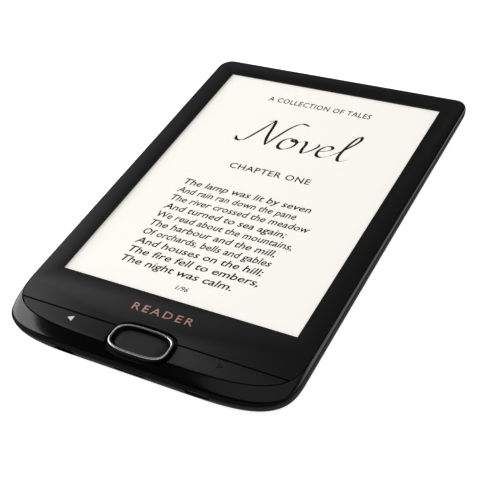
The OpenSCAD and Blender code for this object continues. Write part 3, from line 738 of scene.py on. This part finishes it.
def smooth_path(points):
    """A Catmull-Rom curve through the points."""
    path = []
    ends = [points[0]] + points + [points[-1]]
    for a, b, c, d in zip(ends, ends[1:], ends[2:], ends[3:]):
        for i in range(PEN_STEPS):
            t = i / PEN_STEPS
            path.append(tuple(0.5 * (2 * q + (r - p) * t + (2 * p - 5 * q + 4 * r - s) * t * t
                                     + (3 * q - p - 3 * r + s) * t ** 3) for p, q, r, s in zip(a, b, c, d)))
    path.append(points[-1])
    return path


def pen_stroke(points, thin, thick):
    """The sections of a pen stroke: broad across the pen's angle, thin along it, narrower at both ends."""
    path = smooth_path(points)
    last = len(path) - 1
    sections = []
    for i, (x, y) in enumerate(path):
        (x0, y0), (x1, y1) = path[max(0, i - 1)], path[min(last, i + 1)]
        way = math.atan2(y1 - y0, x1 - x0)
        taper = min(1.0, 0.35 + 4 * min(i, last - i) / last)
        half = lerp(thin, thick, abs(math.sin(way - math.radians(PEN_ANGLE)))) * taper / 2
        nx, ny = -math.sin(way) * half, math.cos(way) * half
        top = PAGE_Z + INK_Z * (1 + 0.5 * i / last)
        sections.append([(x - nx, y - ny, PAGE_Z), (x + nx, y + ny, PAGE_Z), (x + nx, y + ny, top),
                         (x - nx, y - ny, top)])
    return sections


# The title is the word "Novel" in pen strokes: x and y count from the line's start in x-heights
TITLE_STROKES = [
    [(-0.55, 0.35), (-0.35, 0.02), (0.05, 0.12), (0.4, 1.0), (0.78, 2.2)],
    [(0.5, 2.02), (0.78, 2.2), (0.95, 1.7), (1.15, 0.75), (1.42, 0.02)],
    [(1.42, 0.02), (1.65, 0.9), (1.95, 1.85), (2.35, 2.38), (2.85, 2.3)],
    [(2.75, 0.95), (2.4, 0.98), (2.15, 0.6), (2.2, 0.1), (2.55, -0.02), (2.92, 0.28), (3.0, 0.72),
     (2.75, 0.96), (2.62, 0.86), (2.85, 0.76), (3.2, 0.88)],
    [(3.2, 0.88), (3.42, 0.98), (3.55, 0.75), (3.58, 0.3), (3.72, 0.0), (4.05, 0.3), (4.28, 0.75),
     (4.22, 1.0)],
    [(4.45, 0.42), (4.85, 0.55), (5.1, 0.82), (4.95, 1.0), (4.65, 0.88), (4.48, 0.5), (4.55, 0.1),
     (4.85, -0.02), (5.25, 0.2)],
    [(5.25, 0.2), (5.75, 0.95), (6.12, 1.85), (6.05, 2.25), (5.86, 2.05), (5.72, 1.2), (5.72, 0.35),
     (5.92, -0.02), (6.35, 0.22)],
]


def title_print():
    """The title, with its strokes joined in one piece: unit is the x-height and lean the slant."""
    left, base, unit, lean = -20.2, 33.2, 6.9, 0.12
    thin, thick = 0.3, 1.3
    bm = bmesh.new()
    for stroke in TITLE_STROKES:
        placed = [(left + unit * (x + lean * y), base + unit * y) for x, y in stroke]
        loft(pen_stroke(placed, thin, thick), bm=bm)
    obj = new_object("page_title", bm, print_ink)
    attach(obj, "body")


# The verse: each line's words and where it ends
PAGE_LINES = [
    ("The lamp was lit by seven", 23.4), ("And rain ran down the pane", 19.9),
    ("The river crossed the meadow", 27.4), ("And turned to sea again;", 20.8),
    ("We read about the mountains,", 25.6), ("The harbour and the mill,", 21.6),
    ("Of orchards, bells and gables", 22.4), ("And houses on the hill;", 21.8),
    ("The fire fell to embers,", 22.8), ("The night was calm.", 15.3),
]
LINE_LEFT = -29
FIRST_LINE_Y = 3.35
LINE_STEP = 4.815
LINE_SIZE = 4.4
ITALIC = 0.2


def page_print(name, text, left, right, y, size, slant=0.0, weight=0.06, spacing=1.0):
    """A line of ink on the display."""
    text_print(name, text, left, right, y, size, PAGE_Z, print_ink, slant, weight, spacing)


def page_prints():
    page_print("page_author", "A COLLECTION OF TALES", -22.6, 21.6, 60.0, 4.1, weight=0.05, spacing=1.1)
    title_print()
    page_print("page_part", "CHAPTER ONE", -17.2, 16.2, 17.2, 4.3, weight=0.05, spacing=1.1)
    for i, (words, right) in enumerate(PAGE_LINES):
        page_print("page_line_%02d" % (i + 1), words, LINE_LEFT, right, FIRST_LINE_Y - LINE_STEP * i,
                   LINE_SIZE, slant=ITALIC)
    page_print("page_number", "1/96", -3.0, 1.8, -45.7, 2.8, slant=ITALIC, weight=0.03)


def word_mark():
    text_print("word_mark", "READER", -11.6, 11.6, -59.0, 4.3, FRONT_Z, copper_print, weight=0.03,
               spacing=1.35)


def arrow(name, side):
    """The foil triangle on a page key: side is -1 on the left and 1 on the right."""
    tip, base = side * ARROW_HIGH[0], side * ARROW_LOW[0]
    y = (ARROW_LOW[1] + ARROW_HIGH[1]) / 2
    half = (ARROW_HIGH[1] - ARROW_LOW[1]) / 2
    points = [(base, y - half), (tip, y), (base, y + half)]
    obj = new_object(name + "_print", prism(points, FRONT_Z, FRONT_Z + FOIL_T), foil)
    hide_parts(name)
    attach(obj, name.replace("arrow", "key"))


# ---------------------------------------------------------------- stage and light

def floor():
    """The pale floor, a hair below the back."""
    bm = bmesh.new()
    size = 6.0
    plan = ((-size, -size), (size, -size), (size, size), (-size, size))
    bm.faces.new([bm.verts.new((x, y, 0)) for x, y in plan])
    pale = grained("floor_pale", (0.93, 0.93, 0.93), 0.9, 40, 0.0, vary=0.01, specular=0.0, glow=0.95)
    obj = new_object("floor", bm, pale)
    obj.location.z = -0.05 * MM


def softbox(name, turn, rise, far, size, glow):
    """A soft panel that faces the origin: turn is its angle from +X to +Y, rise its angle above the floor."""
    data = bpy.data.lights.new(name, "AREA")
    data.shape = "RECTANGLE"
    data.size, data.size_y = size
    data.energy = glow * math.pi * size[0] * size[1]
    obj = bpy.data.objects.new(name, data)
    bpy.context.scene.collection.objects.link(obj)
    t, r = math.radians(turn), math.radians(rise)
    way = Vector((math.cos(t) * math.cos(r), math.sin(t) * math.cos(r), math.sin(r)))
    obj.location = way * far
    obj.rotation_euler = (-way).to_track_quat("-Z", "Y").to_euler()


def world(low, high):
    """A surround pale near the horizon and dark overhead, but plain white where it is seen directly."""
    made = bpy.data.worlds.new("studio")
    made.use_nodes = True
    tree = made.node_tree
    back = tree.nodes["Background"]
    place = tree.nodes.new("ShaderNodeTexCoord")
    split = tree.nodes.new("ShaderNodeSeparateXYZ")
    ramp = tree.nodes.new("ShaderNodeValToRGB")
    ramp.color_ramp.elements[0].position = 0.1
    ramp.color_ramp.elements[0].color = (low, low, low, 1)
    ramp.color_ramp.elements[1].position = 0.55
    ramp.color_ramp.elements[1].color = (high, high, high, 1)
    tree.links.new(place.outputs["Generated"], split.inputs["Vector"])
    tree.links.new(split.outputs["Z"], ramp.inputs["Fac"])
    tree.links.new(ramp.outputs["Color"], back.inputs["Color"])
    plain = tree.nodes.new("ShaderNodeBackground")
    plain.inputs["Color"].default_value = (1, 1, 1, 1)
    seen = tree.nodes.new("ShaderNodeLightPath")
    choice = tree.nodes.new("ShaderNodeMixShader")
    tree.links.new(seen.outputs["Is Camera Ray"], choice.inputs["Fac"])
    tree.links.new(back.outputs["Background"], choice.inputs[1])
    tree.links.new(plain.outputs["Background"], choice.inputs[2])
    tree.links.new(choice.outputs["Shader"], tree.nodes["World Output"].inputs["Surface"])
    bpy.context.scene.world = made


finish_kept_nodes()
rear_shell()
gloss_shell()
front_plate()
page_key("left_key", -1)
page_key("right_key", 1)
ring_trim()
ring_surround()
home_pad()
page_prints()
word_mark()
arrow("left_arrow", -1)
arrow("right_arrow", 1)
floor()
world(0.5, 0.015)
softbox("left", 181, 27, 1.2, (1.05, 0.9), 3.5)
softbox("left_back", 149, 36, 1.2, (0.34, 0.9), 0.9)
softbox("top", 0, 78, 1.5, (1.6, 2.2), 0.42)
softbox("front_right", -39, 15, 1.5, (1.2, 0.6), 0.8)
bpy.context.scene.view_settings.view_transform = "Standard"
